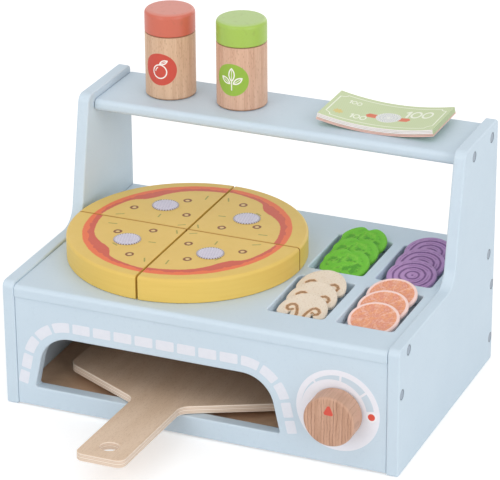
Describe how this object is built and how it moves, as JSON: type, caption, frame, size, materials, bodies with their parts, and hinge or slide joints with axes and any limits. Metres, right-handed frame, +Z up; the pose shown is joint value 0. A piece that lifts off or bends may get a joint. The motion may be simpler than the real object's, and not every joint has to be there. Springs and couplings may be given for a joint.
{
  "type": "toy oven",
  "caption": "Wooden play pizza oven with an arched mouth, a turning knob, wells of felt toppings, a sliced wooden pizza on top, a peel in the mouth, and a shelf of jars and play notes.",
  "frame": {"origin": "middle of the footprint, peel handle included, on the table that the side panels stand on", "axes": "+X to the right along the front, +Y from the oven's mouth to its back, +Z up"},
  "size_m": [0.3, 0.2939, 0.2517],
  "materials": {
    "blue_paint": "satin pale blue paint on fibreboard",
    "hardboard": "bare smooth hardboard",
    "screw_steel": "zinc plated",
    "beech": "turned and sanded, clear matt lacquer",
    "brass": "machined",
    "nylon": "moulded",
    "plywood": "sanded birch plywood, layered edge",
    "pizza_paint": "printed and lacquered top, bare wood sides and underside",
    "patch_fabric": "hook-and-loop disc",
    "mushroom_felt": "printed felt",
    "pepper_felt": "printed felt",
    "tomato_felt": "printed felt",
    "onion_felt": "printed felt",
    "red_paint": "satin red paint",
    "green_paint": "satin green paint",
    "note_paper": "printed coated paper"
  },
  "bodies": {
    "casing": {"side_panel_left": "blue_paint", "side_panel_right": "blue_paint", "deck_board": "blue_paint", "shelf_board": "blue_paint", "well_tray": "blue_paint", "front_panel": "blue_paint", "back_panel": "blue_paint", "floor_board": "hardboard", "side_screw_left_1": "screw_steel", "side_screw_left_2": "screw_steel", "side_screw_left_3": "screw_steel", "side_screw_left_4": "screw_steel", "side_screw_left_5": "screw_steel", "side_screw_left_6": "screw_steel", "side_screw_left_7": "screw_steel", "side_screw_right_1": "screw_steel", "side_screw_right_2": "screw_steel", "side_screw_right_3": "screw_steel", "side_screw_right_4": "screw_steel", "side_screw_right_5": "screw_steel", "side_screw_right_6": "screw_steel", "side_screw_right_7": "screw_steel", "knob_washer_front": "nylon", "knob_washer_back": "screw_steel"},
    "knob": {"knob": "beech", "knob_insert": "brass", "knob_screw": "screw_steel"},
    "peel": {"peel": "plywood"},
    "slice_1": {"pizza_slice_1": "pizza_paint", "topping_patch_1": "patch_fabric"},
    "slice_2": {"pizza_slice_2": "pizza_paint", "topping_patch_2": "patch_fabric"},
    "slice_3": {"pizza_slice_3": "pizza_paint", "topping_patch_3": "patch_fabric"},
    "slice_4": {"pizza_slice_4": "pizza_paint", "topping_patch_4": "patch_fabric"},
    "mushroom_1": {"mushroom_1": "mushroom_felt"},
    "mushroom_2": {"mushroom_2": "mushroom_felt"},
    "mushroom_3": {"mushroom_3": "mushroom_felt"},
    "pepper_1": {"pepper_1": "pepper_felt"},
    "pepper_2": {"pepper_2": "pepper_felt"},
    "pepper_3": {"pepper_3": "pepper_felt"},
    "tomato_1": {"tomato_1": "tomato_felt"},
    "tomato_2": {"tomato_2": "tomato_felt"},
    "tomato_3": {"tomato_3": "tomato_felt"},
    "onion_1": {"onion_1": "onion_felt"},
    "onion_2": {"onion_2": "onion_felt"},
    "onion_3": {"onion_3": "onion_felt"},
    "red_jar": {"red_jar_body": "beech", "red_jar_lid": "red_paint"},
    "green_jar": {"green_jar_body": "beech", "green_jar_lid": "green_paint"},
    "note_1": {"banknote_1": "note_paper"},
    "note_2": {"banknote_2": "note_paper"},
    "note_3": {"banknote_3": "note_paper"},
    "note_4": {"banknote_4": "note_paper"},
    "note_5": {"banknote_5": "note_paper"}
  },
  "joints": [
    {"name": "knob_turn", "type": "hinge", "parent": "casing", "child": "knob", "pos_m": [0.105, -0.053, 0.042], "axis": [0, -1, 0], "continuous": true},
    {"name": "peel_slide", "type": "slide", "parent": "casing", "child": "peel", "axis": [0, -0.9993, 0.0387], "range_m": [0, 0.15]},
    {"name": "slice_1_lift", "type": "slide", "parent": "casing", "child": "slice_1", "axis": [0, 0, 1], "range_m": [0, 0.055]},
    {"name": "slice_2_lift", "type": "slide", "parent": "casing", "child": "slice_2", "axis": [0, 0, 1], "range_m": [0, 0.055]},
    {"name": "slice_3_lift", "type": "slide", "parent": "casing", "child": "slice_3", "axis": [0, 0, 1], "range_m": [0, 0.055]},
    {"name": "slice_4_lift", "type": "slide", "parent": "casing", "child": "slice_4", "axis": [0, 0, 1], "range_m": [0, 0.055]},
    {"name": "mushroom_3_lift", "type": "slide", "parent": "casing", "child": "mushroom_3", "axis": [0, 0, 1], "range_m": [0, 0.024]},
    {"name": "mushroom_2_lift", "type": "slide", "parent": "mushroom_3", "child": "mushroom_2", "axis": [0, 0, 1], "range_m": [0, 0.024]},
    {"name": "mushroom_1_lift", "type": "slide", "parent": "mushroom_2", "child": "mushroom_1", "axis": [0, 0, 1], "range_m": [0, 0.024]},
    {"name": "pepper_3_lift", "type": "slide", "parent": "casing", "child": "pepper_3", "axis": [0, 0, 1], "range_m": [0, 0.024]},
    {"name": "pepper_2_lift", "type": "slide", "parent": "pepper_3", "child": "pepper_2", "axis": [0, 0, 1], "range_m": [0, 0.024]},
    {"name": "pepper_1_lift", "type": "slide", "parent": "pepper_2", "child": "pepper_1", "axis": [0, 0, 1], "range_m": [0, 0.024]},
    {"name": "tomato_3_lift", "type": "slide", "parent": "casing", "child": "tomato_3", "axis": [0, 0, 1], "range_m": [0, 0.024]},
    {"name": "tomato_2_lift", "type": "slide", "parent": "tomato_3", "child": "tomato_2", "axis": [0, 0, 1], "range_m": [0, 0.024]},
    {"name": "tomato_1_lift", "type": "slide", "parent": "tomato_2", "child": "tomato_1", "axis": [0, 0, 1], "range_m": [0, 0.024]},
    {"name": "onion_3_lift", "type": "slide", "parent": "casing", "child": "onion_3", "axis": [0, 0, 1], "range_m": [0, 0.024]},
    {"name": "onion_2_lift", "type": "slide", "parent": "onion_3", "child": "onion_2", "axis": [0, 0, 1], "range_m": [0, 0.024]},
    {"name": "onion_1_lift", "type": "slide", "parent": "onion_2", "child": "onion_1", "axis": [0, 0, 1], "range_m": [0, 0.024]},
    {"name": "red_jar_lift", "type": "slide", "parent": "casing", "child": "red_jar", "axis": [0, 0, 1], "range_m": [0, 0.06]},
    {"name": "green_jar_lift", "type": "slide", "parent": "casing", "child": "green_jar", "axis": [0, 0, 1], "range_m": [0, 0.06]},
    {"name": "note_1_lift", "type": "slide", "parent": "casing", "child": "note_1", "axis": [0, 0, 1], "range_m": [0, 0.02]},
    {"name": "note_2_lift", "type": "slide", "parent": "note_1", "child": "note_2", "axis": [0, 0, 1], "range_m": [0, 0.02]},
    {"name": "note_3_lift", "type": "slide", "parent": "note_2", "child": "note_3", "axis": [0, 0, 1], "range_m": [0, 0.02]},
    {"name": "note_4_lift", "type": "slide", "parent": "note_3", "child": "note_4", "axis": [0, 0, 1], "range_m": [0, 0.02]},
    {"name": "note_5_lift", "type": "slide", "parent": "note_4", "child": "note_5", "axis": [0, 0, 1], "range_m": [0, 0.02]}
  ]
}
